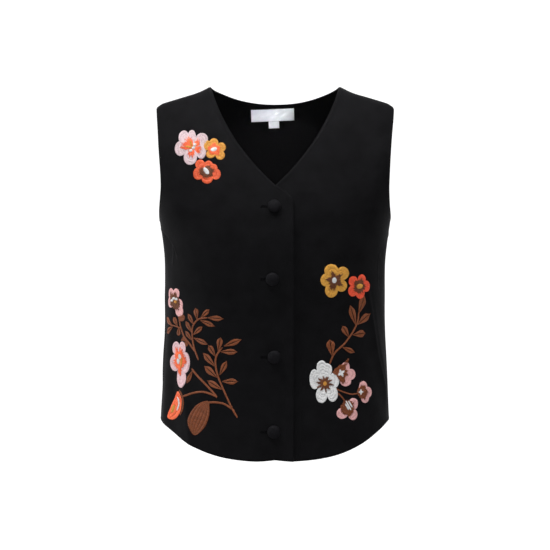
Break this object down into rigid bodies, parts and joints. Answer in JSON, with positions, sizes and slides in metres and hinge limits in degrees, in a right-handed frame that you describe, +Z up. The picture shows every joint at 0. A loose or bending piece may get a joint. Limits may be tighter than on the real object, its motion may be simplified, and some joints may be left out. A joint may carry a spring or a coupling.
{
  "type": "embroidered waistcoat",
  "caption": "Sleeveless V-neck waistcoat held in its worn shape: lapped fronts closed by covered buttons, a back in one piece, and a woven neck label.",
  "frame": {"origin": "midway between the neck ends of the two shoulder seams, where the wearer's shoulders carry it", "axes": "+Z up, -Y towards the front of the garment, +X towards the wearer's left"},
  "size_m": [0.357, 0.2261, 0.5475],
  "materials": {
    "black_cloth": "matt plain weave with a faint sheen",
    "covered_button": "matt cloth drawn over a dome",
    "label_band": "white woven satin",
    "embroidery": "satin stitch in rayon thread"
  },
  "bodies": {
    "root": {"right_front": "black_cloth", "left_front": "black_cloth", "back": "black_cloth", "button_1": "covered_button", "button_2": "covered_button", "button_3": "covered_button", "button_4": "covered_button", "neck_label": "label_band", "size_tab": "label_band"}
  },
  "joints": []
}
